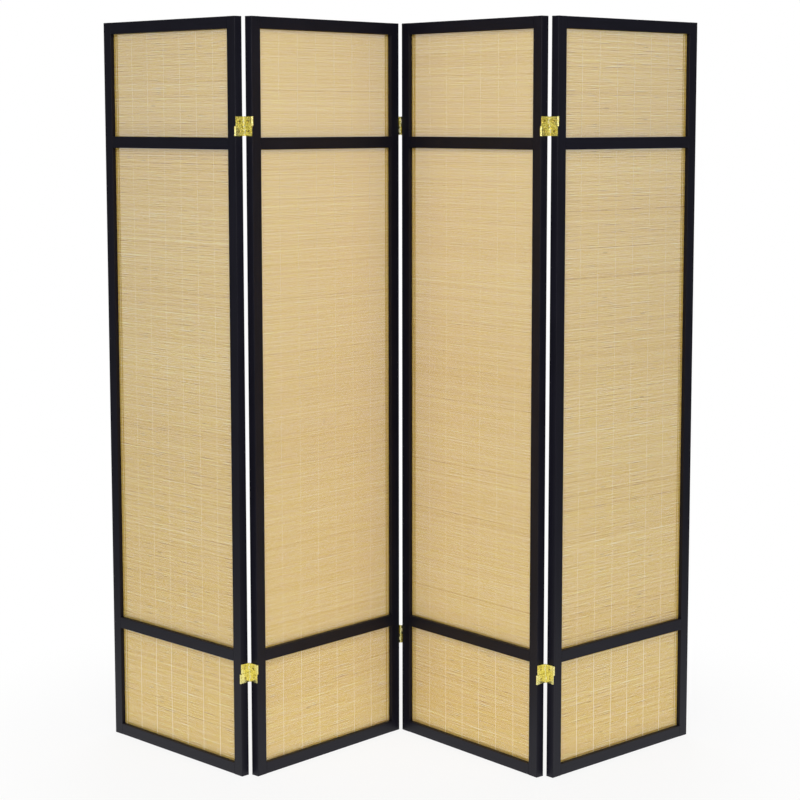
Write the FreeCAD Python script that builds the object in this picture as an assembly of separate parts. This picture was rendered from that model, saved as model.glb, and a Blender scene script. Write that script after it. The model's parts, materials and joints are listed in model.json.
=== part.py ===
import FreeCAD
import Part
import math
import os

# Folding screen of four panels. Each panel is a lacquered wooden frame that holds three woven
# mats of matchstick bamboo, and neighbouring panels are joined by two double-acting hinges.
# Millimetres, +Z up. The front looks towards -Y, and the panels stand in a zigzag.
# The origin is on the floor, in the middle of the box around the standing screen.

# Panel frame
panel_height = 1829.0
panel_width = 508.0
frame_thickness = 22.0
stile_width = 28.6
end_rail_height = 28.6
cross_rail_height = 28.6
end_opening_height = 254.0
edge_round = 1.0

# Mats, held in a groove round each opening
mat_thickness = 2.0
groove_depth = 6.0
mat_face_clearance = 0.1
mat_edge_clearance = 0.3

# Dowels between the rails and the stiles
dowel_diameter = 8.0
dowel_length = 28.0
dowel_clearance = 0.05
dowel_end_clearance = 0.5

# Hinges: the gap between two panels in line is also the diameter of the hinge barrels
hinge_height = 46.0
hinge_end_distance = 256.0
panel_gap = 5.0
leaf_thickness = 1.3
link_thickness = 1.3
face_clearance = 0.3
knuckle_gap = 0.3
link_gap = 0.4
pin_diameter = 2.2
pin_clearance = 0.05
pin_chamfer = 0.3

# Hinge screws, with a cross recess, and the holes in the links that they are driven through
screw_head_diameter = 5.2
screw_shank_diameter = 2.8
screw_length = 12.0
screw_tip_length = 3.0
screw_clearance = 0.05
recess_length = 3.0
recess_width = 0.7
recess_depth = 0.6
access_clearance = 0.7

# Turn of each panel out of the screen's width, as it stands in the photograph
outer_panel_turn = 43.9
inner_panel_turn = 48.8

# Sizes that follow from the ones above
mid_depth = frame_thickness / 2
barrel_radius = panel_gap / 2
pin_radius = pin_diameter / 2
bore_radius = pin_radius + pin_clearance
axis_offset = barrel_radius + face_clearance
front_axis = -axis_offset
rear_axis = frame_thickness + axis_offset
plate_front = front_axis + barrel_radius + knuckle_gap
plate_rear = rear_axis - barrel_radius - knuckle_gap
half_height = (hinge_height - link_gap) / 2
half_middle = (link_gap + half_height) / 2
knuckle_height = (half_height - 2 * knuckle_gap) / 3
end_band = end_rail_height + end_opening_height
hinge_levels = (hinge_end_distance, panel_height - hinge_end_distance)

rail_spans = {
    "bottom_rail": (0.0, end_rail_height),
    "lower_cross_rail": (end_band, end_band + cross_rail_height),
    "upper_cross_rail": (panel_height - end_band - cross_rail_height, panel_height - end_band),
    "top_rail": (panel_height - end_rail_height, panel_height),
}
mat_spans = {
    "bottom_mat": (end_rail_height, end_band),
    "middle_mat": (end_band + cross_rail_height, panel_height - end_band - cross_rail_height),
    "top_mat": (panel_height - end_band, panel_height - end_rail_height),
}

X = FreeCAD.Vector(1, 0, 0)
Z = FreeCAD.Vector(0, 0, 1)


def box(x_span, y_span, z_span):
    corner = FreeCAD.Vector(x_span[0], y_span[0], z_span[0])
    return Part.makeBox(x_span[1] - x_span[0], y_span[1] - y_span[0], z_span[1] - z_span[0], corner)


def rounded_bar(x_span, z_span, long_axis):
    """A frame member of full thickness, its four long edges eased."""
    bar = box(x_span, (0.0, frame_thickness), z_span)
    long_edges = [edge for edge in bar.Edges if abs(edge.Curve.Direction.dot(long_axis)) > 0.9]
    return bar.makeFillet(edge_round, long_edges)


# Panel pieces, in the panel's own frame: X from its left edge, Y from its front face, Z up from
# the floor


def mat_slab(span, reach, thickness):
    """A slab over one opening that reaches into the members around it."""
    x_span = (stile_width - reach, panel_width - stile_width + reach)
    y_span = (mid_depth - thickness / 2, mid_depth + thickness / 2)
    return box(x_span, y_span, (span[0] - reach, span[1] + reach))


def dowel_at(joint_x, span, clearance, end_clearance):
    """A dowel across the joint between a rail and a stile, or the hole for it."""
    length = dowel_length + 2 * end_clearance
    start = FreeCAD.Vector(joint_x - length / 2, mid_depth, (span[0] + span[1]) / 2)
    return Part.makeCylinder(dowel_diameter / 2 + clearance, length, start, X)


left_span = (0.0, stile_width)
rail_reach = (stile_width, panel_width - stile_width)
right_span = (panel_width - stile_width, panel_width)
full_span = (0.0, panel_height)
pocket_thickness = mat_thickness + 2 * mat_face_clearance
mat_reach = groove_depth - mat_edge_clearance

joints = [(x, span) for span in rail_spans.values() for x in rail_reach]
dowels = [dowel_at(x, span, 0.0, 0.0) for x, span in joints]
dowel_holes = [dowel_at(x, span, dowel_clearance, dowel_end_clearance) for x, span in joints]
pockets = [mat_slab(span, groove_depth, pocket_thickness) for span in mat_spans.values()]
frame_cuts = pockets + dowel_holes

mats = {name: mat_slab(span, mat_reach, mat_thickness) for name, span in mat_spans.items()}
rails = {name: rounded_bar(rail_reach, span, X).cut(frame_cuts) for name, span in rail_spans.items()}
stiles = {
    "left_stile": rounded_bar(left_span, full_span, Z).cut(frame_cuts),
    "right_stile": rounded_bar(right_span, full_span, Z).cut(frame_cuts),
}

# Hinge pieces, in the hinge's own frame: X from the middle of the gap between two panels in line,
# Y from their front face, Z from the hinge's middle. LEFT and RIGHT are the two panels' sides,
# FRONT and REAR the two pin axes, UPPER and LOWER the two halves, each with a link of its own.
# In the upper half the left leaf turns on the rear pin and the right leaf on the front pin,
# and in the lower half the other way round, so the panels fold both ways.

LEFT, RIGHT = -1, 1
FRONT, REAR = -1, 1
LOWER, UPPER = -1, 1


def axis_depth(end):
    return rear_axis if end == REAR else front_axis


def plate_edge(end):
    return plate_rear if end == REAR else plate_front


def half_span(half):
    return tuple(sorted((half * link_gap / 2, half * hinge_height / 2)))


def knuckle_spans(half):
    """The heights of the three knuckles on one pin, from the hinge's middle outwards."""
    spans = []
    for index in range(3):
        near = link_gap / 2 + index * (knuckle_height + knuckle_gap)
        spans.append(tuple(sorted((half * near, half * (near + knuckle_height)))))
    return spans


def barrel_face(outline, end):
    """The section of a knuckle: its outline with the pin's bore left open."""
    bore = Part.Circle(FreeCAD.Vector(0, axis_depth(end), 0), Z, bore_radius).toShape()
    return Part.makeFace([Part.Wire(outline), Part.Wire(bore)], "Part::FaceMakerBullseye")


def leaf_section(side, end):
    """A leaf's strip, rolled round the pin from the side of its panel."""
    depth = axis_depth(end)
    root = plate_edge(end) - end * leaf_thickness
    inner_x = side * (barrel_radius - leaf_thickness)
    meet = depth - end * math.sqrt(barrel_radius**2 - inner_x**2)
    outer_root = FreeCAD.Vector(side * barrel_radius, root, 0)
    roll_start = FreeCAD.Vector(side * barrel_radius, depth, 0)
    roll_far = FreeCAD.Vector(-side * barrel_radius, depth, 0)
    roll_end = FreeCAD.Vector(inner_x, meet, 0)
    inner_root = FreeCAD.Vector(inner_x, root, 0)
    outline = [
        Part.LineSegment(outer_root, roll_start).toShape(),
        Part.Arc(roll_start, roll_far, roll_end).toShape(),
        Part.LineSegment(roll_end, inner_root).toShape(),
        Part.LineSegment(inner_root, outer_root).toShape(),
    ]
    return barrel_face(outline, end)


def link_section(end):
    """A link's plate, meeting its barrel on the centre line."""
    depth = axis_depth(end)
    root = plate_edge(end) - end * link_thickness
    half_plate = link_thickness / 2
    meet = depth - end * math.sqrt(barrel_radius**2 - half_plate**2)
    left_root = FreeCAD.Vector(-half_plate, root, 0)
    left_meet = FreeCAD.Vector(-half_plate, meet, 0)
    far = FreeCAD.Vector(0, depth + end * barrel_radius, 0)
    right_meet = FreeCAD.Vector(half_plate, meet, 0)
    right_root = FreeCAD.Vector(half_plate, root, 0)
    outline = [
        Part.LineSegment(left_root, left_meet).toShape(),
        Part.Arc(left_meet, far, right_meet).toShape(),
        Part.LineSegment(right_meet, right_root).toShape(),
        Part.LineSegment(right_root, left_root).toShape(),
    ]
    return barrel_face(outline, end)


def raised(section, span):
    knuckle = section.extrude(Z * (span[1] - span[0]))
    knuckle.translate(Z * span[0])
    return knuckle


def screw_profile(clearance):
    """A countersunk screw along +X from its head, or the hole for it."""
    head_radius = screw_head_diameter / 2 + clearance
    shank_radius = screw_shank_diameter / 2 + clearance
    end = screw_length + clearance
    points = [
        FreeCAD.Vector(0, 0, 0),
        FreeCAD.Vector(0, head_radius, 0),
        FreeCAD.Vector(head_radius - shank_radius, shank_radius, 0),
        FreeCAD.Vector(screw_length - screw_tip_length, shank_radius, 0),
        FreeCAD.Vector(end, 0, 0),
    ]
    return Part.Face(Part.makePolygon(points + points[:1])).revolve(FreeCAD.Vector(0, 0, 0), X, 360)


def recessed_screw():
    long_span = (-recess_length / 2, recess_length / 2)
    short_span = (-recess_width / 2, recess_width / 2)
    deep_span = (0.0, recess_depth)
    bars = [box(deep_span, long_span, short_span), box(deep_span, short_span, long_span)]
    return screw_profile(0.0).cut(bars)


def at_leaf(shape, side, half):
    """Sets a screw, or the hole for one, in a leaf, pointing into its panel."""
    seat = FreeCAD.Vector(side * (barrel_radius - leaf_thickness), mid_depth, half * half_middle)
    placed = shape.copy()
    placed.Placement = FreeCAD.Placement(seat, FreeCAD.Rotation(Z, 0 if side == RIGHT else 180))
    return placed


def leaf_screw_holes(side):
    return [at_leaf(screw_profile(screw_clearance), side, half) for half in (LOWER, UPPER)]


def make_leaf(side):
    x_span = tuple(sorted((side * barrel_radius, side * (barrel_radius - leaf_thickness))))
    leaf = box(x_span, (plate_front, plate_rear), (-hinge_height / 2, hinge_height / 2))
    knuckles = []
    for end, half in ((REAR, -side), (FRONT, side)):
        first, middle, last = knuckle_spans(half)
        knuckles += [raised(leaf_section(side, end), span) for span in (first, last)]
    return leaf.fuse(knuckles).removeSplitter().cut(leaf_screw_holes(side))


def make_link(half):
    x_span = (-link_thickness / 2, link_thickness / 2)
    link = box(x_span, (plate_front, plate_rear), half_span(half))
    first, middle, last = knuckle_spans(half)
    knuckles = [raised(link_section(end), middle) for end in (FRONT, REAR)]
    access_start = FreeCAD.Vector(-link_thickness, mid_depth, half * half_middle)
    access_radius = screw_head_diameter / 2 + access_clearance
    access = Part.makeCylinder(access_radius, 2 * link_thickness, access_start, X)
    return link.fuse(knuckles).removeSplitter().cut(access)


def make_pin(half, end):
    low, high = half_span(half)
    pin = Part.makeCylinder(pin_radius, high - low, FreeCAD.Vector(0, axis_depth(end), low), Z)
    rims = [edge for edge in pin.Edges if edge.isClosed()]
    return pin.makeChamfer(pin_chamfer, rims)


leaves = {side: make_leaf(side) for side in (LEFT, RIGHT)}
links = {half: make_link(half) for half in (LOWER, UPPER)}
pins = {half: [make_pin(half, end) for end in (FRONT, REAR)] for half in (LOWER, UPPER)}
screw = recessed_screw()
screws = {side: [at_leaf(screw, side, half) for half in (LOWER, UPPER)] for side in (LEFT, RIGHT)}
screw_holes = {side: leaf_screw_holes(side) for side in (LEFT, RIGHT)}

# Folds: in a fold towards the viewer the panels turn on the rear pins, with the upper link flat
# against the right panel, and in a fold away from the viewer on the front pins, with the upper
# link flat against the left panel.

folds = {"fold_12": REAR, "fold_23": FRONT, "fold_34": REAR}
panel_folds = {
    1: (None, "fold_12"),
    2: ("fold_12", "fold_23"),
    3: ("fold_23", "fold_34"),
    4: ("fold_34", None),
}


def link_of(fold, panel_side):
    """Which half's link lies flat against the panel on that side of the fold."""
    return panel_side * folds[fold]


def on_panel(shape, panel_side, level):
    """Moves a hinge piece to its place on the edge of a panel."""
    edge = panel_width + panel_gap / 2 if panel_side == LEFT else -panel_gap / 2
    placed = shape.copy()
    placed.translate(FreeCAD.Vector(edge, 0, level))
    return placed


def all_levels(shapes, panel_side):
    return [on_panel(shape, panel_side, level) for level in hinge_levels for shape in shapes]


def fold_hardware(fold, panel_side):
    """The solids of one fold that ride on one of its panels, by node."""
    half = link_of(fold, panel_side)
    leaf_node = fold + ("_left_leaves" if panel_side == LEFT else "_right_leaves")
    link_node = fold + ("_upper_links" if half == UPPER else "_lower_links")
    return {
        leaf_node: all_levels([leaves[panel_side]], panel_side),
        link_node: all_levels([links[half]], panel_side),
    }


def panel_solids(number):
    """Every solid that rides on one panel, by node, in the panel's frame."""
    name = "panel_%d_" % number
    solids = {name + piece: [shape] for piece, shape in list(rails.items()) + list(mats.items())}
    frame_sides = dict(stiles)
    panel_pins = []
    panel_screws = []
    for fold, panel_side, stile in zip(panel_folds[number], (RIGHT, LEFT), ("left_stile", "right_stile")):
        if fold is None:
            continue
        solids.update(fold_hardware(fold, panel_side))
        panel_pins += all_levels(pins[link_of(fold, panel_side)], panel_side)
        panel_screws += all_levels(screws[panel_side], panel_side)
        frame_sides[stile] = frame_sides[stile].cut(all_levels(screw_holes[panel_side], panel_side))
    for stile, shape in frame_sides.items():
        solids[name + stile] = [shape]
    solids[name + "dowels"] = dowels
    solids[name + "hinge_pins"] = panel_pins
    solids[name + "hinge_screws"] = panel_screws
    return solids


# Plan of the standing screen: each panel hangs on the pin axis of the fold beside it


def stand(turn, own_point, plan_point):
    rotation = FreeCAD.Rotation(Z, turn)
    return FreeCAD.Placement(plan_point - rotation.multVec(own_point), rotation)


def pin_point(fold, panel_side):
    edge = panel_width + panel_gap / 2 if panel_side == LEFT else -panel_gap / 2
    return FreeCAD.Vector(edge, axis_depth(folds[fold]), 0)


plan_centre = FreeCAD.Vector(0, 0, 0)
places = {
    2: stand(inner_panel_turn, pin_point("fold_23", LEFT), plan_centre),
    3: stand(-inner_panel_turn, pin_point("fold_23", RIGHT), plan_centre),
}
axes = {
    "fold_12": places[2].multVec(pin_point("fold_12", RIGHT)),
    "fold_23": plan_centre,
    "fold_34": places[3].multVec(pin_point("fold_34", LEFT)),
}
places[1] = stand(-outer_panel_turn, pin_point("fold_12", LEFT), axes["fold_12"])
places[4] = stand(outer_panel_turn, pin_point("fold_34", RIGHT), axes["fold_34"])

nodes = {}
for number in sorted(places):
    for node, shapes in panel_solids(number).items():
        placed = [shape.copy() for shape in shapes]
        for shape in placed:
            shape.Placement = places[number].multiply(shape.Placement)
        nodes[node] = placed

whole = Part.makeCompound([shape for shapes in nodes.values() for shape in shapes])
extent = whole.optimalBoundingBox(False, False)
to_centre = FreeCAD.Vector(-(extent.XMin + extent.XMax) / 2, -(extent.YMin + extent.YMax) / 2, 0)

os.makedirs("parts", exist_ok=True)
for node, shapes in nodes.items():
    for shape in shapes:
        shape.translate(to_centre)
    node_shape = shapes[0] if len(shapes) == 1 else Part.makeCompound(shapes)
    node_shape.exportStep("parts/%s.step" % node)

print("%d nodes, %d solids" % (len(nodes), sum(len(shapes) for shapes in nodes.values())))
print("box %.3f x %.3f x %.3f" % (extent.XLength, extent.YLength, extent.ZLength))
for fold, point in axes.items():
    centred = point + to_centre
    print("%s axis at %.4f, %.4f" % (fold, centred.x, centred.y))
for number in sorted(places):
    underside = places[number].multVec(FreeCAD.Vector(panel_width / 2, mid_depth, 0)) + to_centre
    print("panel_%d underside middle at %.4f, %.4f" % (number, underside.x, underside.y))
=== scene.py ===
# %% [markdown]
# # A bamboo folding screen
#
# This lesson dresses a four-panel folding screen: black lacquered frames, mats of matchstick
# bamboo and small brass hinges. The solid model already holds the frames and the hinges, so they
# are loaded as they are and only get finishes. The mats are plain slabs there, and the lesson
# builds them again from single bamboo splints and cotton threads, because that is what the eye
# reads on the real screen.

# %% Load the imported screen
import json
import math

import bpy
import numpy as np
from mathutils import Matrix, Vector


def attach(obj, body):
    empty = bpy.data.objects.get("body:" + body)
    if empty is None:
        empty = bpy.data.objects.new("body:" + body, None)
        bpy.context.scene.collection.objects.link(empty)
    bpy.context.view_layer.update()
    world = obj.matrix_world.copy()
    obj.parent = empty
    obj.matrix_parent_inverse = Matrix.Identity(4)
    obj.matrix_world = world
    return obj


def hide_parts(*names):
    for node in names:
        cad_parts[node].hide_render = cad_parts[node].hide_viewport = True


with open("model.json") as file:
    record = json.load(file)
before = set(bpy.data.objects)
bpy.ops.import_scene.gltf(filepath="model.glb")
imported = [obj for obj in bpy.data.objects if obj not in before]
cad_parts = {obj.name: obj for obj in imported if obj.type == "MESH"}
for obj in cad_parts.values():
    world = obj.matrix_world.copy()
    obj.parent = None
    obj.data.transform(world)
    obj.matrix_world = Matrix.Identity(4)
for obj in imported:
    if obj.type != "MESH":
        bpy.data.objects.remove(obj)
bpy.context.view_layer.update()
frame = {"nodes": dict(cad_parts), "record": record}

# %% [markdown]
# ## Where each panel stands
#
# Every panel is the same flat frame, turned about an upright line. A mat could be modelled where
# it stands, but it is easier in the panel's own directions, X across from its left edge, Y back
# from its front face and Z up, and it is turned into place at the end. The record gives the middle
# of each panel's underside, and the turns are those at which the screen was photographed.

# %% Panel sizes and places
PANEL_WIDTH = 0.508
PANEL_DEPTH = 0.022
PANEL_TURNS = {1: -43.9, 2: 48.8, 3: -48.8, 4: 43.9}

UNDERSIDES = {mount["name"]: Vector(mount["pos_m"]) for mount in frame["record"]["mounts"]}


def panel_place(number):
    """The matrix that carries a panel's own directions to where it stands."""
    middle = Matrix.Translation((-PANEL_WIDTH / 2, -PANEL_DEPTH / 2, 0))
    turn = Matrix.Rotation(math.radians(PANEL_TURNS[number]), 4, "Z")
    return Matrix.Translation(UNDERSIDES["underside_panel_%d" % number]) @ turn @ middle


for number in PANEL_TURNS:
    corner = panel_place(number) @ Vector((0, 0, 0))
    print("panel", number, "left front corner at", [round(v, 4) for v in corner])

# %% [markdown]
# ## The camera
#
# The photograph was taken from a little right of the middle, at eye height and with a long lens.
# A level camera with a large shift of the lens would keep every upright line parallel, but it
# would cut the screen off in views from other sides. So this camera stands at the same height and
# looks a little down: most of the framing comes from its own turn, and only a small shift is left.

# %% Camera
PICTURE_SIDE = 800
FOCAL_PIXELS = 1985.51
AXIS_PIXEL = (418.11, 346.63)
CAMERA_PLACE = (0.1153, -4.8747, 1.5865)
CAMERA_TILT = 6.5
CAMERA_TURN = 0.793
SENSOR_WIDTH = 36.0

bpy.ops.object.select_all(action="DESELECT")
bpy.ops.object.camera_add(
    location=CAMERA_PLACE,
    rotation=(math.radians(90 - CAMERA_TILT), 0, math.radians(CAMERA_TURN)),
)
camera = bpy.context.object
camera.name = "photo_camera"
camera.data.sensor_width = SENSOR_WIDTH
camera.data.lens = FOCAL_PIXELS / PICTURE_SIDE * SENSOR_WIDTH
camera.data.shift_x = (PICTURE_SIDE / 2 - AXIS_PIXEL[0]) / PICTURE_SIDE
camera.data.shift_y = (AXIS_PIXEL[1] - PICTURE_SIDE / 2) / PICTURE_SIDE
bpy.context.scene.camera = camera
print("lens", round(camera.data.lens, 2))
print("shift", round(camera.data.shift_x, 4), round(camera.data.shift_y, 4))

# %% [markdown]
# ## Writing shaders as sums
#
# A finish is a small network of nodes. Placing each node by hand hides the idea behind it, so one
# class wraps a node's output and lets Python's own signs add the Math nodes: `1 - mask` makes a
# Subtract node. Any other node comes from its `node` method.

# %% Shader helper
class Wire:
    """An output of a node tree that can be used in sums."""

    def __init__(self, tree, socket=None):
        self.tree = tree
        self.socket = socket

    def node(self, kind, settings=None, sockets=None, output=0):
        """Adds a node, sets it up, fills its sockets with values or wires, and wraps one output."""
        made = self.tree.nodes.new("ShaderNode" + kind)
        for name, value in (settings or {}).items():
            if name == "stops":
                ramp = made.color_ramp.elements
                while len(ramp) < len(value):
                    ramp.new(1.0)
                for stop, (place, colour) in zip(ramp, value):
                    stop.position = place
                    stop.color = (*colour, 1.0)
            else:
                setattr(made, name, value)
        for name, value in (sockets or {}).items():
            self.plug(made.inputs[name], value)
        return Wire(self.tree, made.outputs[output])

    def plug(self, socket, value):
        """Links a wire to a socket, or sets the socket to a plain value."""
        if isinstance(value, Wire):
            self.tree.links.new(value.socket, socket)
        else:
            socket.default_value = value

    def sum(self, operation, first, second):
        return self.node("Math", {"operation": operation}, {0: first, 1: second})

    def __add__(self, other):
        return self.sum("ADD", self, other)

    def __radd__(self, other):
        return self.sum("ADD", other, self)

    def __sub__(self, other):
        return self.sum("SUBTRACT", self, other)

    def __rsub__(self, other):
        return self.sum("SUBTRACT", other, self)

    def __mul__(self, other):
        return self.sum("MULTIPLY", self, other)

    def __rmul__(self, other):
        return self.sum("MULTIPLY", other, self)


def blank_finish(name):
    """A new material, the start of its wires and its main shader."""
    material = bpy.data.materials.new(name)
    material.use_nodes = True
    tree = material.node_tree
    return material, Wire(tree), tree.nodes["Principled BSDF"]


print("shader helper ready")

# %% [markdown]
# ## Patterns that several finishes share
#
# Lacquer, brass, wood and bamboo all vary in the same few ways: a cloudy pattern, the same pattern
# drawn out along one direction, a soft step from one state to another, and a mix of two colours.
# Each is a node or two, so each gets a short function here.

# %% Shared patterns
SOFT_STEP = (0.35, 0.65)


def noise(wire, spot, scale, detail, bend=0.0):
    """A cloudy pattern with about so many clouds to the metre."""
    sockets = {"Vector": spot, "Scale": scale, "Detail": detail, "Distortion": bend}
    return wire.node("TexNoise", None, sockets)


def drawn_out(wire, spot, counts):
    """The place on a surface, counted out differently along each axis."""
    return wire.node("VectorMath", {"operation": "MULTIPLY"}, {0: spot, 1: counts})


def band(wire, value, low, high):
    """0 below low, 1 above high, and smooth between them."""
    return wire.node(
        "MapRange",
        {"interpolation_type": "SMOOTHSTEP"},
        {"Value": value, "From Min": low, "From Max": high},
    )


def mix_colour(wire, share, first, second, blend="MIX"):
    """The first colour at share 0, and the second, or its blend with the first, at share 1."""
    settings = {"data_type": "RGBA", "blend_type": blend}
    return wire.node("Mix", settings, {0: share, 6: first, 7: second}, output=2)


def bump(wire, strength, distance, height):
    return wire.node("Bump", None, {"Strength": strength, "Distance": distance, "Height": height})


def dress(node, finish):
    """Gives a node of the solid model its finish."""
    node.data.materials.clear()
    node.data.materials.append(finish)


print("patterns ready")

# %% [markdown]
# ## Black lacquer
#
# The frames are of a plain wood under a satin black lacquer with a cold, slightly violet tone. One
# flat black would do from far off, but seen close the lacquer follows the grain: long shallow lines
# along each member, and a finish that is a little duller here and there. The grain runs up the
# stiles and along the rails, so the pattern is turned with the panel and drawn out along the member.

# %% Lacquer finish
LACQUER_DARK = (0.0046, 0.0043, 0.0090, 1.0)
LACQUER_LIGHT = (0.0062, 0.0058, 0.0122, 1.0)
LACQUER_ROUGHNESS = 0.30
CLOUD_DULLNESS = 0.10
GRAIN_DULLNESS = 0.06
DUST_DULLNESS = 0.03
LACQUER_GLOSS = 0.2
GRAIN_ALONG = 9.0
GRAIN_ACROSS = 420.0
GRAIN_BEND = 0.6
GRAIN_STRENGTH = 0.22
GRAIN_DEPTH = 0.0004
GRAIN_IN_SHADE = 0.7
CLOUDS = 14.0
DUST = 900.0
DUST_HEIGHT = 0.12
GRAIN_COUNTS = {
    "upright": (GRAIN_ACROSS, GRAIN_ACROSS, GRAIN_ALONG),
    "level": (GRAIN_ALONG, GRAIN_ACROSS, GRAIN_ACROSS),
}


def lacquer(number, run):
    material, wire, shader = blank_finish("black_lacquer_%s_%d" % (run, number))
    spot = wire.node("TexCoord", output="Object")
    turn = (0, 0, math.radians(PANEL_TURNS[number]))
    spot = wire.node("Mapping", {"vector_type": "TEXTURE"}, {"Vector": spot, "Rotation": turn})
    run_of_grain = drawn_out(wire, spot, GRAIN_COUNTS[run])
    grain = noise(wire, run_of_grain, 1.0, detail=3.0, bend=GRAIN_BEND)
    cloud = noise(wire, spot, CLOUDS, detail=2.0)
    dust = noise(wire, spot, DUST, detail=1.0)
    shade = band(wire, grain * GRAIN_IN_SHADE + cloud * (1 - GRAIN_IN_SHADE), *SOFT_STEP)
    wire.plug(shader.inputs["Base Color"], mix_colour(wire, shade, LACQUER_DARK, LACQUER_LIGHT))
    dullness = CLOUD_DULLNESS * cloud + GRAIN_DULLNESS * grain + DUST_DULLNESS * dust
    wire.plug(shader.inputs["Roughness"], LACQUER_ROUGHNESS + dullness)
    relief = bump(wire, GRAIN_STRENGTH, GRAIN_DEPTH, grain + DUST_HEIGHT * dust)
    wire.plug(shader.inputs["Normal"], relief)
    shader.inputs["Specular IOR Level"].default_value = LACQUER_GLOSS
    return material


MEMBERS = {
    "upright": ("left_stile", "right_stile"),
    "level": ("top_rail", "upper_cross_rail", "lower_cross_rail", "bottom_rail"),
}
for number in PANEL_TURNS:
    for run, members in MEMBERS.items():
        finish = lacquer(number, run)
        for member in members:
            dress(frame["nodes"]["panel_%d_%s" % (number, member)], finish)
print("lacquer on", len(PANEL_TURNS) * sum(map(len, MEMBERS.values())), "members")

# %% [markdown]
# ## Brass, steel and raw wood
#
# The hinges are pressed from sheet and plated in a bright lemon brass. A perfect mirror would look
# like plastic at this size, because real sheet is rolled and a little uneven, so shallow dents and
# rolling lines break the reflections up over a few millimetres. The screws are painted a dark brown
# that stands in for the shade in their countersinks and recesses, with pale patches that are painted
# glints. The pins are steel, and the dowels inside the joints are raw wood.

# %% Metal finishes
SPECKS = 1400.0
ROLLING_COUNTS = (300.0, 300.0, 2600.0)
STAIN_AND_GLINT_STEP = (0.30, 0.60)
DENT_IN_STAIN_AND_GLINT = 0.6
LINE_IN_DULLNESS = 0.6
LINE_HEIGHT = 0.05
DENT_STRENGTH = 0.20
DENT_DEPTH = 0.0003


def metal(name, main, patches, smooth, rough, dents):
    """Metal of one colour with patches of another, between two roughnesses."""
    material, wire, shader = blank_finish(name)
    spot = wire.node("TexCoord", output="Object")
    dent = noise(wire, spot, dents, detail=2.0)
    speck = noise(wire, spot, SPECKS, detail=2.0)
    line = noise(wire, drawn_out(wire, spot, ROLLING_COUNTS), 1.0, detail=2.0)
    # On the brass plates this mask places darker stains; on the screws it places painted glints over
    # painted shade.
    stain_and_painted_glint = band(wire, dent * DENT_IN_STAIN_AND_GLINT + speck * (1 - DENT_IN_STAIN_AND_GLINT), *STAIN_AND_GLINT_STEP)
    wire.plug(shader.inputs["Base Color"], mix_colour(wire, stain_and_painted_glint, (*patches, 1.0), (*main, 1.0)))
    dullness = LINE_IN_DULLNESS * line + (1 - LINE_IN_DULLNESS) * dent
    wire.plug(shader.inputs["Roughness"], smooth + (rough - smooth) * dullness)
    relief = bump(wire, DENT_STRENGTH, DENT_DEPTH, dent + LINE_HEIGHT * line)
    wire.plug(shader.inputs["Normal"], relief)
    shader.inputs["Metallic"].default_value = 1.0
    return material


brass = metal(
    "bright_brass",
    main=(1.00, 0.93, 0.40),
    patches=(0.82, 0.69, 0.17),
    smooth=0.17,
    rough=0.35,
    dents=260.0,
)
# The screws' dark brown is painted shade, standing in for the shade in their countersinks and recesses;
# their pale patches are painted glints.
brass_screw = metal(
    "brass_screw",
    main=(0.40, 0.28, 0.11),
    patches=(0.95, 0.90, 0.72),
    smooth=0.12,
    rough=0.30,
    dents=420.0,
)
steel = metal(
    "pin_steel",
    main=(0.62, 0.60, 0.55),
    patches=(0.46, 0.44, 0.40),
    smooth=0.22,
    rough=0.42,
    dents=500.0,
)
print("metals", [finish.name for finish in (brass, brass_screw, steel)])

# %% Raw wood, and which node gets what
WOOD_PALE = (0.66, 0.50, 0.32, 1.0)
WOOD_DEEP = (0.46, 0.31, 0.17, 1.0)
WOOD_ROUGHNESS = 0.55
WOOD_DULLNESS = 0.2
WOOD_COUNTS = (60.0, 60.0, 900.0)


def raw_wood(name):
    material, wire, shader = blank_finish(name)
    spot = wire.node("TexCoord", output="Object")
    grain = noise(wire, drawn_out(wire, spot, WOOD_COUNTS), 1.0, detail=3.0)
    shade = band(wire, grain, *SOFT_STEP)
    wire.plug(shader.inputs["Base Color"], mix_colour(wire, shade, WOOD_DEEP, WOOD_PALE))
    wire.plug(shader.inputs["Roughness"], WOOD_ROUGHNESS + WOOD_DULLNESS * grain)
    return material


FINISHES = {
    "_leaves": brass,
    "_links": brass,
    "_hinge_screws": brass_screw,
    "_hinge_pins": steel,
    "_dowels": raw_wood("dowel_wood"),
}
for ending, finish in FINISHES.items():
    fitted = [node for name, node in frame["nodes"].items() if name.endswith(ending)]
    for node in fitted:
        dress(node, finish)
    print(finish.name, "on", len(fitted), "nodes")

# %% [markdown]
# ## Matchstick bamboo
#
# A mat is hundreds of splints, each nearly two millimetres high, laid level and bound with thread.
# No two have the same tone, and each changes along its length: paler and darker dashes, yellower
# and pinker stretches, and here and there the brown mark of a node. A pattern in space would run on
# from one splint to the next, so the finish keeps a chart of splints in its UV map instead: U runs
# along a splint and V picks a row. The chart has four groups of rows, calm dashes and lively ones,
# each also with dark and pale changed over. A group has rows for a few patterns of dashes, and each
# pattern comes in tones from dark honey to pale straw.

# %% Bamboo chart
CHART = "OFBake"
TONES = 8
TONE_LOW = 0.24
TONE_HIGH = 0.86
PATTERNS = 8
GROUP_ROWS = TONES * PATTERNS
CHART_ROWS = 4 * GROUP_ROWS
SPLINT_COLOURS = (
    (0.00, (0.42, 0.20, 0.030)),
    (0.25, (0.58, 0.365, 0.068)),
    (0.55, (0.66, 0.455, 0.122)),
    (0.80, (0.71, 0.545, 0.200)),
    (1.00, (0.75, 0.65, 0.330)),
)


def whole(wire, value):
    return wire.node("Math", {"operation": "FLOOR"}, {0: value})


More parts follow.
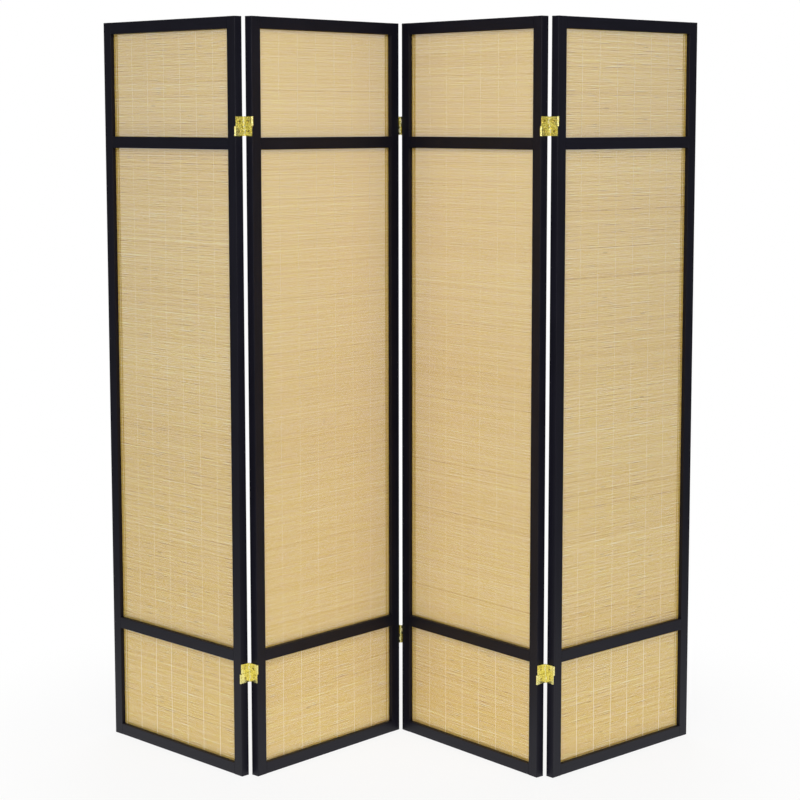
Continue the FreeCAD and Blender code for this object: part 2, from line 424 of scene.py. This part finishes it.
def read_row(wire, upward):
    """A chart row, its pattern and tone, and whether it is lively and changed over."""
    row = whole(wire, upward * CHART_ROWS)
    group = whole(wire, (row + 0.5) * (1 / GROUP_ROWS))
    in_group = row - group * GROUP_ROWS
    pattern = whole(wire, (in_group + 0.5) * (1 / TONES))
    tone = TONE_LOW + (TONE_HIGH - TONE_LOW) / (TONES - 1) * (in_group - pattern * TONES)
    lively = whole(wire, (group + 0.5) * 0.5)
    return row, pattern, tone, lively, group - 2 * lively


print("bamboo chart of", CHART_ROWS, "rows")

# %% Bamboo finish
LONG_DASHES = 6.0
LONG_WEIGHT = 1.40
SHORT_DASHES = 17.0
SHORT_WEIGHT = 0.65
FLECKS = 70.0
FLECK_WEIGHT = 0.25
EVEN_NOISE = 0.5
TINTED_STRETCHES = 9.0
NODE_MARKS = 13.0
NODE_MARK_STEP = (0.77, 0.83)
NODE_MARK_SHARE = 0.55
NODE_BROWN = (0.30, 0.15, 0.030, 1.0)
YELLOWER = (1.01, 1.02, 0.84, 1.0)
PINKER = (1.00, 0.98, 1.11, 1.0)
CALM_DASHES = 0.55
ROWS_APART = 7.13
BAMBOO_ROUGHNESS = 0.42
DASH_DULLNESS = 0.16
BAMBOO_GLOSS = 0.2


def bamboo():
    material, wire, shader = blank_finish("matchstick_bamboo")
    chart = wire.node("UVMap", {"uv_map": CHART})
    along = wire.node("SeparateXYZ", None, {0: chart}, output="X")
    upward = wire.node("SeparateXYZ", None, {0: chart}, output="Y")
    row, pattern, tone, lively, changed_over = read_row(wire, upward)
    strength = (CALM_DASHES + (1 - CALM_DASHES) * lively) * (1 - 2 * changed_over)

    def dashes(per_splint, kind, seed):
        sockets = {"X": along * per_splint, "Y": kind * ROWS_APART + seed}
        spot = wire.node("CombineXYZ", None, sockets)
        sockets = {"Vector": spot, "Scale": 1.0, "Detail": 2.0}
        return wire.node("TexNoise", {"noise_dimensions": "2D"}, sockets)

    long_dash = dashes(LONG_DASHES, pattern, seed=0.0)
    short_dash = dashes(SHORT_DASHES, pattern, seed=311.7)
    fleck = dashes(FLECKS, pattern, seed=617.3)
    dashed = LONG_WEIGHT * (long_dash - EVEN_NOISE) + SHORT_WEIGHT * (short_dash - EVEN_NOISE)
    dashed = dashed + FLECK_WEIGHT * (fleck - EVEN_NOISE)
    straw = wire.node("ValToRGB", {"stops": SPLINT_COLOURS}, {0: tone + strength * dashed})
    stretch = band(wire, dashes(TINTED_STRETCHES, row, seed=1231.9), *SOFT_STEP)
    tint = mix_colour(wire, stretch, YELLOWER, PINKER)
    straw = mix_colour(wire, 1.0, straw, tint, blend="MULTIPLY")
    mark = band(wire, dashes(NODE_MARKS, row, seed=929.1), *NODE_MARK_STEP)
    colour = mix_colour(wire, NODE_MARK_SHARE * mark, straw, NODE_BROWN)
    wire.plug(shader.inputs["Base Color"], colour)
    wire.plug(shader.inputs["Roughness"], BAMBOO_ROUGHNESS + DASH_DULLNESS * short_dash)
    shader.inputs["Specular IOR Level"].default_value = BAMBOO_GLOSS
    return material


bamboo_finish = bamboo()
print("bamboo with", len(bamboo_finish.node_tree.nodes), "shader nodes")

# %% [markdown]
# ## The openings and a few hand tools
#
# Each frame has three openings, and a mat reaches into the groove on all four sides. Splints and
# threads are made the same way: one is modelled by hand, an Array modifier stacks copies of it, and
# then every copy is moved a little, so that it is its own. The short functions here do the parts
# that both share.

# %% Openings
STILE_WIDTH = 0.0286
GROOVE_REACH = 0.0057
MAT_MIDDLE = PANEL_DEPTH / 2
MAT_LEFT = STILE_WIDTH - GROOVE_REACH
MAT_WIDTH = PANEL_WIDTH - 2 * MAT_LEFT
OPENINGS = {
    "top_mat": (1.5464, 1.8004),
    "middle_mat": (0.3112, 1.5178),
    "bottom_mat": (0.0286, 0.2826),
}


def mat_ends(mat):
    """The heights of a mat's lower and upper edges, inside the grooves."""
    return OPENINGS[mat][0] - GROOVE_REACH, OPENINGS[mat][1] + GROOVE_REACH


for mat in OPENINGS:
    print(mat, round(MAT_WIDTH, 4), "by", round(mat_ends(mat)[1] - mat_ends(mat)[0], 4), "m")

# %% Hand tools
TINY = 0.00001


def new_piece(name):
    """Names the primitive that was just added."""
    piece = bpy.context.object
    piece.name = name
    piece.data.name = name
    return piece


def edit_all():
    bpy.ops.object.mode_set(mode="EDIT")
    bpy.ops.mesh.select_all(action="SELECT")


def object_again():
    bpy.ops.object.mode_set(mode="OBJECT")


def stack(piece, count, step, weld=False):
    """Copies a piece along a step with an Array modifier, and applies it."""
    array = piece.modifiers.new("stack", "ARRAY")
    array.use_relative_offset = False
    array.use_constant_offset = True
    array.constant_offset_displace = step
    array.count = count
    array.use_merge_vertices = weld
    array.merge_threshold = TINY
    bpy.ops.object.modifier_apply(modifier=array.name)


def read_points(piece):
    points = np.empty(len(piece.data.vertices) * 3, np.float32)
    piece.data.vertices.foreach_get("co", points)
    return points.reshape(-1, 3).astype(float)


def move_points(piece, points):
    piece.data.vertices.foreach_set("co", points.astype(np.float32).ravel())


def set_in_panel(piece, number, finish, smooth_angle):
    """Smooths a finished piece, turns it into its panel and lets it ride that panel."""
    bpy.ops.object.shade_smooth_by_angle(angle=math.radians(smooth_angle))
    piece.data.transform(panel_place(number))
    piece.data.update()
    piece.data.materials.append(finish)
    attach(piece, "panel_%d" % number)


print("hand tools ready")

# %% [markdown]
# ## One splint
#
# A splint is a thin split stick. A flat strip would have no edges to catch the light, and a round
# rod would need many faces, so one splint is a six-sided rod: a cylinder that is laid down,
# flattened, and cut across into short lengths so that it can bow. Its faces are laid out in the
# chart along their length, and its two ends keep to a narrow strip at the ends of a row.

# %% One splint
SPLINT_PITCH = 0.00200
SPLINT_HEIGHT = 0.00193
SPLINT_THICKNESS = 0.00060
SPLINT_SIDES = 6
SPLINT_LENGTHS = 8
LONG_EDGE = 0.1


def new_splint(name, low):
    """One straight splint, the lowest of a mat."""
    bpy.ops.object.select_all(action="DESELECT")
    bpy.ops.mesh.primitive_cylinder_add(
        vertices=SPLINT_SIDES,
        radius=0.5,
        depth=MAT_WIDTH,
        rotation=(0, math.pi / 2, 0),
        location=(MAT_LEFT + MAT_WIDTH / 2, MAT_MIDDLE, low + SPLINT_PITCH / 2),
    )
    piece = new_piece(name)
    piece.scale = (SPLINT_HEIGHT, SPLINT_THICKNESS / math.cos(math.pi / SPLINT_SIDES), 1)
    bpy.ops.object.transform_apply(location=True, rotation=True, scale=True)
    xs = read_points(piece)[:, 0]
    long_edges = [
        edge.index for edge in piece.data.edges
        if abs(xs[edge.vertices[0]] - xs[edge.vertices[1]]) > LONG_EDGE
    ]
    edit_all()
    bpy.ops.mesh.select_all(action="DESELECT")
    bpy.ops.mesh.select_mode(type="EDGE")
    object_again()
    for index in long_edges:
        piece.data.edges[index].select = True
    bpy.ops.object.mode_set(mode="EDIT")
    bpy.ops.mesh.subdivide(number_cuts=SPLINT_LENGTHS - 1)
    object_again()
    return piece


print("a splint has", SPLINT_SIDES * SPLINT_LENGTHS + 2, "faces")

# %% A splint's faces in the chart
ROW_FOOT = 0.15
ROW_HEAD = 0.85
END_INSET = 0.002
END_STRIP = 0.004


def chart_of_splint(piece, low):
    """U and the place within a row for each corner of one splint's faces."""
    mesh = piece.data
    places = np.empty((len(mesh.loops), 2))

    def around(spot):
        return math.atan2(spot.z - low - SPLINT_PITCH / 2, spot.y - MAT_MIDDLE)

    for face in mesh.polygons:
        spots = [mesh.vertices[index].co for index in face.vertices]
        xs = [spot.x for spot in spots]
        is_end = max(xs) - min(xs) < TINY
        facing = around(sum(spots, Vector()) / len(spots))
        for corner, spot in zip(face.loop_indices, spots):
            u = (spot.x - MAT_LEFT) / MAT_WIDTH
            ahead = math.sin(around(spot) - facing) > 0
            if is_end:
                inset = END_INSET + END_STRIP * (math.cos(around(spot)) > 0)
                u = inset if u < 0.5 else 1 - inset
                ahead = math.sin(around(spot)) > 0
            places[corner] = (u, ROW_HEAD if ahead else ROW_FOOT)
    return places


print("a splint's faces fill", round(ROW_HEAD - ROW_FOOT, 2), "of a row")

# %% [markdown]
# ## Uneven splints
#
# Splints are split by hand, so no two are equally high or thick, and none is quite straight. An
# even stack would also give false rings in a picture, where its lines beat against the pixels. So
# the slits are set at uneven heights, and each splint is fitted between its two slits. The slits
# stay open by a tenth or two of a millimetre, because daylight shows through the real mat, and its
# far edge looks darker where the frame stands behind it.

# %% Uneven splints
SLIT_SEEDS = {number: 500 * number for number in PANEL_TURNS}
SPLINT_SHARES = (0.8, 1.2)
HEIGHT_SHARES = (0.945, 0.985)
THICKNESS_SHARES = (0.85, 1.15)
SPLINT_BOW = 0.000012
BOW_LIMIT = 0.00003
END_TRIM = 0.0015


def slit_places(number, mat):
    """The heights of the slits of a mat: an even ladder, and the real, uneven one."""
    low, high = mat_ends(mat)
    count = int((high - low) / SPLINT_PITCH)
    shares = np.random.default_rng(SLIT_SEEDS[number] + len(mat)).uniform(*SPLINT_SHARES, count)
    rungs = np.concatenate([[0], np.cumsum(shares)]) / shares.sum() * count
    return low + SPLINT_PITCH * np.arange(count + 1), low + SPLINT_PITCH * rungs


def make_uneven(piece, even, real, draw):
    """Fits each splint of an even stack between its own slits, and bows and trims it."""
    count = len(even) - 1
    thickness = draw.uniform(*THICKNESS_SHARES, count)
    height = draw.uniform(*HEIGHT_SHARES, count) * np.diff(real) / SPLINT_PITCH
    bow = draw.normal(0, SPLINT_BOW, (count, SPLINT_LENGTHS + 1, 2)).clip(-BOW_LIMIT, BOW_LIMIT)
    trim = draw.uniform(0, END_TRIM, (count, 2))
    points = read_points(piece).reshape(count, -1, 3)
    inward = (points[:, :, 0] - MAT_LEFT) / MAT_WIDTH
    rings = np.rint(inward * SPLINT_LENGTHS).astype(int)
    bent = np.take_along_axis(bow, np.repeat(rings[:, :, None], 2, 2), 1)
    back = points[:, :, 1] - MAT_MIDDLE
    up = points[:, :, 2] - ((even[:-1] + even[1:]) / 2)[:, None]
    points[:, :, 0] += trim[:, :1] * (1 - inward) - trim[:, 1:] * inward
    points[:, :, 1] = MAT_MIDDLE + back * thickness[:, None] + bent[:, :, 0]
    points[:, :, 2] = ((real[:-1] + real[1:]) / 2)[:, None] + up * height[:, None] + bent[:, :, 1]
    move_points(piece, points)


for mat in OPENINGS:
    spans = np.diff(slit_places(1, mat)[1]) * 1000
    print(mat, len(spans), "splints, slits", spans.min().round(2), "to", spans.max().round(2), "mm apart")

# %% [markdown]
# ## Which row of the chart a splint gets
#
# A mat looks crisp because neighbours are unlike, not because the tones differ much. Tones picked
# by chance alone come in blurred clumps, so part of what the neighbours have in common is taken
# away again. Every second splint also gets its neighbour's dashes changed over. A slow drift in
# tone runs up the mat, and a splint is dark brown now and then.

# %% Rows of the chart
TONE_MIDDLE = {1: 0.515, 2: 0.555, 3: 0.555, 4: 0.515}
TONE_SPREAD = {1: 0.125, 2: 0.085, 3: 0.096, 4: 0.125}
TONE_DRIFTS = ((0.9, 0.030), (0.37, 0.022), (0.11, 0.008))
NEARBY_SHARES = (0.11, 0.24, 0.30, 0.24, 0.11)
UNLIKE = 0.45
BROWN_SHARE = 0.003
FLIP_SHARE = 0.5
LIVELY_PANELS = (1, 4)


def chart_rows(number, mat, count, draw):
    """The chart row of each splint of a mat, and which splints are turned end for end."""
    height = np.arange(count) * SPLINT_PITCH
    drift = sum(
        np.sin(height * 2 * math.pi / length + draw.uniform(0, 2 * math.pi)) * rise
        for length, rise in TONE_DRIFTS
    )
    chance = draw.normal(0, 1, count)
    unlike = chance - UNLIKE * np.convolve(chance, NEARBY_SHARES, "same")
    tones = TONE_MIDDLE[number] + TONE_SPREAD[number] * unlike + drift
    tones[draw.random(count) < BROWN_SHARE] = TONE_LOW
    steps = np.rint((tones - TONE_LOW) / (TONE_HIGH - TONE_LOW) * (TONES - 1)).clip(0, TONES - 1)
    pairs = np.arange(count) // 2
    pattern = draw.integers(0, PATTERNS, count)[pairs]
    flip = (draw.random(count) < FLIP_SHARE)[pairs]
    lively = number in LIVELY_PANELS or mat == "bottom_mat"
    group = 2 * lively + np.arange(count) % 2
    return group * GROUP_ROWS + pattern * TONES + steps, flip


def lay_in_chart(piece, splint_chart, rows, flip):
    """Gives the stack of splints a UV map, each splint in its own row."""
    corners = np.repeat(splint_chart[None], len(rows), 0)
    corners[flip, :, 0] = 1 - corners[flip, :, 0]
    corners[:, :, 1] = (rows[:, None] + corners[:, :, 1]) / CHART_ROWS
    while piece.data.uv_layers:
        piece.data.uv_layers.remove(piece.data.uv_layers[0])
    layer = piece.data.uv_layers.new(name=CHART)
    layer.data.foreach_set("uv", corners.astype(np.float32).ravel())


print("tones", TONE_LOW, "to", TONE_HIGH, "in", TONES, "steps")

# %% [markdown]
# ## The mats
#
# With one splint, its chart and its chances ready, a mat is a short recipe: stack the splint to the
# height of the mat, make the stack uneven, lay it in the chart and set it in its panel, where it
# takes the place of the plain slab. Doing it with one stack keeps a mat one piece.

# %% Splint mats
SPLINT_SEEDS = {number: 1000 * number for number in PANEL_TURNS}
SPLINT_SMOOTH = 75


def splint_mat(number, mat):
    low = mat_ends(mat)[0]
    even, real = slit_places(number, mat)
    count = len(even) - 1
    draw = np.random.default_rng(SPLINT_SEEDS[number] + len(mat))
    piece = new_splint("panel_%d_%s_splints" % (number, mat), low)
    splint_chart = chart_of_splint(piece, low)
    stack(piece, count, (0, 0, SPLINT_PITCH))
    make_uneven(piece, even, real, draw)
    rows, flip = chart_rows(number, mat, count, draw)
    lay_in_chart(piece, splint_chart, rows, flip)
    set_in_panel(piece, number, bamboo_finish, SPLINT_SMOOTH)
    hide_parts("panel_%d_%s" % (number, mat))
    return count


for number in PANEL_TURNS:
    print("panel", number, {mat: splint_mat(number, mat) for mat in OPENINGS})

# %% [markdown]
# ## Cotton
#
# The mats are bound with a pale cotton thread, duller than the bamboo and a little uneven in
# colour along its twist. The twist itself could be modelled, but a thread is only about a
# millimetre wide, so two pale tones in a fine cloudy pattern say enough.

# %% Cotton finish
COTTON_DEEP = (0.80, 0.72, 0.52, 1.0)
COTTON_PALE = (0.93, 0.88, 0.74, 1.0)
COTTON_STEP = (0.3, 0.7)
COTTON_ROUGHNESS = 0.75
TWIST_DULLNESS = 0.2
TWISTS = 9.0


def cotton():
    material, wire, shader = blank_finish("cotton_thread")
    chart = wire.node("UVMap", {"uv_map": CHART})
    twist = noise(wire, chart, TWISTS, detail=3.0)
    shade = band(wire, twist, *COTTON_STEP)
    wire.plug(shader.inputs["Base Color"], mix_colour(wire, shade, COTTON_DEEP, COTTON_PALE))
    wire.plug(shader.inputs["Roughness"], COTTON_ROUGHNESS + TWIST_DULLNESS * twist)
    return material


cotton_finish = cotton()
print("cotton ready")

# %% [markdown]
# ## One stitch
#
# Upright pairs of thread hold the splints. One of the pair passes in front of two splints and then
# behind the next two, and its partner does the opposite. A curve with a round section could follow
# that path, but thousands of stitches need few faces, so one stitch is extruded from a small flat
# square: up in front, back through a slit, up behind and forward again.

# %% One stitch
THREAD_SIDES = 4
THREAD_WIDTHS = {1: 0.00082, 2: 0.00062, 3: 0.00056, 4: 0.00088}
YARN_GRADES = {"top_mat": 1.1, "middle_mat": 0.8, "bottom_mat": 1.65}
THREAD_THICKNESS = 0.00024
THREAD_LIFT = 0.00008
THREAD_FRONT = SPLINT_THICKNESS / 2 + THREAD_LIFT
STITCH = 4 * SPLINT_PITCH
CROSSING = 0.0006
FACES_UP = 0.9
UNWRAP_ANGLE = 1.15
UNWRAP_MARGIN = 0.02


def new_stitch(name, width, first, low):
    """One stitch of the first thread, open at both ends."""
    bpy.ops.object.select_all(action="DESELECT")
    bpy.ops.mesh.primitive_plane_add(size=1, location=(first, MAT_MIDDLE - THREAD_FRONT, low))
    piece = new_piece(name)
    piece.scale = (width, THREAD_THICKNESS, 1)
    bpy.ops.object.transform_apply(location=True, rotation=True, scale=True)
    edit_all()
    run = STITCH / 2 - CROSSING
    across = 2 * THREAD_FRONT
    for back, up in ((0, run), (across, CROSSING), (0, run), (-across, CROSSING)):
        bpy.ops.mesh.extrude_region_move(TRANSFORM_OT_translate={"value": (0, back, up)})
    bpy.ops.mesh.select_all(action="DESELECT")
    object_again()
    ends = (low, low + STITCH)
    for face in piece.data.polygons:
        at_end = min(abs(face.center.z - end) for end in ends) < TINY
        face.select = abs(face.normal.z) > FACES_UP and at_end
    bpy.ops.object.mode_set(mode="EDIT")
    bpy.ops.mesh.delete(type="ONLY_FACE")
    bpy.ops.mesh.select_all(action="SELECT")
    bpy.ops.mesh.normals_make_consistent(inside=False)
    bpy.ops.uv.smart_project(angle_limit=UNWRAP_ANGLE, island_margin=UNWRAP_MARGIN)
    object_again()
    piece.data.uv_layers[0].name = CHART
    return piece


print("a stitch is", STITCH * 1000, "mm high")

# %% [markdown]
# ## The threads that bind a mat
#
# Array modifiers repeat the stitch upwards, then beside itself half a stitch higher for the
# partner, and then across the mat. The two ends of the thread are closed after the first Array. At
# the end each pair is let wander sideways by about a millimetre, as a sewn line does, and its
# stitches are drawn up or down to cross in the slits.

# %% Threads
THREADS = 8
THREAD_SPACING = 0.0627
THREAD_SIDE_STEP = 0.00050
THREAD_WANDER = 0.0009
WANDER_LENGTHS = (0.83, 0.31)
MAT_SHIFTS = {1: 0.0024, 2: 0.0003, 3: 0.0, 4: -0.0029}
THREAD_SEEDS = {number: 7000 + 10 * number for number in PANEL_TURNS}
THREAD_SMOOTH = 50


def settle(piece, number, mat, first):
    """Lets each pair of threads wander sideways, and draws its crossings to the slits."""
    draw = np.random.default_rng(THREAD_SEEDS[number] + len(mat))
    phases = draw.uniform(0, 2 * math.pi, (THREADS, len(WANDER_LENGTHS)))
    points = read_points(piece)
    pair = np.rint((points[:, 0] - first - THREAD_SIDE_STEP / 2) / THREAD_SPACING).astype(int)
    for length, phase in zip(WANDER_LENGTHS, phases.T):
        wave = np.sin(points[:, 2] * 2 * math.pi / length + phase[pair])
        points[:, 0] += THREAD_WANDER * length * wave
    even, real = slit_places(number, mat)
    even = np.append(even, even[-1] + STITCH)
    real = np.append(real, real[-1] + STITCH)
    points[:, 2] = np.interp(points[:, 2], even, real)
    move_points(piece, points)


def threads(number, mat):
    low, high = mat_ends(mat)
    low += CROSSING
    count = int((high - low) / STITCH - 0.5)
    first = PANEL_WIDTH / 2 - THREAD_SPACING * (THREADS - 1) / 2 + MAT_SHIFTS[number]
    width = THREAD_WIDTHS[number] * YARN_GRADES[mat]
    piece = new_stitch("panel_%d_%s_threads" % (number, mat), width, first, low)
    stack(piece, count, (0, 0, STITCH), weld=True)
    edit_all()
    bpy.ops.mesh.fill_holes(sides=THREAD_SIDES)
    object_again()
    stack(piece, 2, (THREAD_SIDE_STEP, 0, STITCH / 2))
    stack(piece, THREADS, (THREAD_SPACING, 0, 0))
    settle(piece, number, mat, first)
    set_in_panel(piece, number, cotton_finish, THREAD_SMOOTH)
    return count


for number in PANEL_TURNS:
    print("panel", number, "stitches", {mat: threads(number, mat) for mat in OPENINGS})

# %% [markdown]
# ## The floor
#
# The photograph is a studio shot on white. A floor that is only white would lose the screen's
# shadow, and a floor lit until it is white would burn the mats out. So the floor shows itself to
# the camera as mostly white, with a share of real paper near the screen that takes the soft shadow.
# Glossy rays see a white floor near the screen and a grey room further off, as in a studio, which
# is why the lacquer stays black and gets paler only close to the floor.

# %% Floor
FLOOR_SIDE = 40.0
FLOOR_DROP = 0.0004
FLOOR_GLOW = 1.6
GLOW_SHARE = 0.8
SHADOW_SHARE = 0.13
SHADOW_REACH = (0.5, 1.5)
WHITE_REACH = (1.0, 2.8)
ROOM_GREY = 0.20
PAPER = (0.90, 0.90, 0.90, 1.0)
PAPER_ROUGHNESS = 0.9
WHITE = (1, 1, 1, 1)
RAYS = ("Is Camera Ray", "Is Glossy Ray", "Is Transmission Ray")


def glowing(wire, strength):
    return wire.node("Emission", None, {"Color": WHITE, "Strength": strength})


def mix_shader(wire, share, first, second):
    return wire.node("MixShader", None, {0: share, 1: first, 2: second})


def white_paper():
    material, wire, shader = blank_finish("white_paper")
    shader.inputs["Base Color"].default_value = PAPER
    shader.inputs["Roughness"].default_value = PAPER_ROUGHNESS
    shader.inputs["Specular IOR Level"].default_value = 0.0
    paper = Wire(wire.tree, shader.outputs[0])
    spot = wire.node("TexCoord", output="Object")
    reach = wire.node("VectorMath", {"operation": "LENGTH"}, {0: spot}, output="Value")
    near = 1 - band(wire, reach, *SHADOW_REACH)
    wide = 1 - band(wire, reach, *WHITE_REACH)
    seen, mirrored, through = [wire.node("LightPath", output=ray) for ray in RAYS]
    shown = mix_shader(wire, 1 - SHADOW_SHARE * near, paper, glowing(wire, 1.0))
    glossed = mix_shader(wire, wide, glowing(wire, ROOM_GREY), glowing(wire, 1.0))
    glow = mix_shader(wire, GLOW_SHARE * wide, paper, glowing(wire, FLOOR_GLOW))
    lit = mix_shader(wire, mirrored, glow, glossed)
    last = mix_shader(wire, seen + through, lit, shown)
    wire.plug(wire.tree.nodes["Material Output"].inputs["Surface"], last)
    return material


bpy.ops.object.select_all(action="DESELECT")
bpy.ops.mesh.primitive_plane_add(size=FLOOR_SIDE, location=(0, 0, -FLOOR_DROP))
floor = bpy.context.object
floor.name = "studio_floor"
bpy.ops.object.transform_apply(location=True, rotation=True, scale=True)
floor.data.materials.append(white_paper())
print("floor", FLOOR_SIDE, "m")

# %% [markdown]
# ## World and lamps
#
# The world shows white to the camera and a grey room to glossy rays, and gives only a little light
# of its own. The light comes from soft boxes, because small lamps would draw hard shadows of the
# rails on the mats: two from the sides, one from above, one from the front, and one behind the
# screen, so that its back can be looked at too.

# %% World and lamps
WORLD_FILL = 0.15
AIM = Vector((0, 0, 0.92))
LAMPS = {
    "left_softbox": ((-2.5, -2.2, 1.6), (1.4, 1.4), 20.5),
    "right_softbox": ((2.5, -2.2, 1.6), (1.4, 1.4), 20.5),
    "top_softbox": ((0.0, -2.2, 3.4), (2.6, 1.2), 24.0),
    "front_softbox": ((0.05, -2.5, 2.5), (1.5, 1.0), 29.0),
    "back_softbox": ((0.0, 3.2, 3.1), (2.4, 1.0), 55.0),
}

scene = bpy.context.scene
world = bpy.data.worlds.new("studio")
scene.world = world
world.use_nodes = True
sky = Wire(world.node_tree)
background = world.node_tree.nodes["Background"]
seen, mirrored, through = [sky.node("LightPath", output=ray) for ray in RAYS]
level = WORLD_FILL + (1 - WORLD_FILL) * (seen + through) + (ROOM_GREY - WORLD_FILL) * mirrored
sky.plug(background.inputs["Strength"], level)
background.inputs["Color"].default_value = WHITE

for name, (place, size, power) in LAMPS.items():
    bpy.ops.object.select_all(action="DESELECT")
    towards = (AIM - Vector(place)).to_track_quat("-Z", "Y").to_euler()
    bpy.ops.object.light_add(type="AREA", location=place, rotation=towards)
    lamp = bpy.context.object
    lamp.name = name
    lamp.data.shape = "RECTANGLE"
    lamp.data.size = size[0]
    lamp.data.size_y = size[1]
    lamp.data.energy = power
scene.view_settings.view_transform = "Standard"
print("lamps", list(LAMPS))
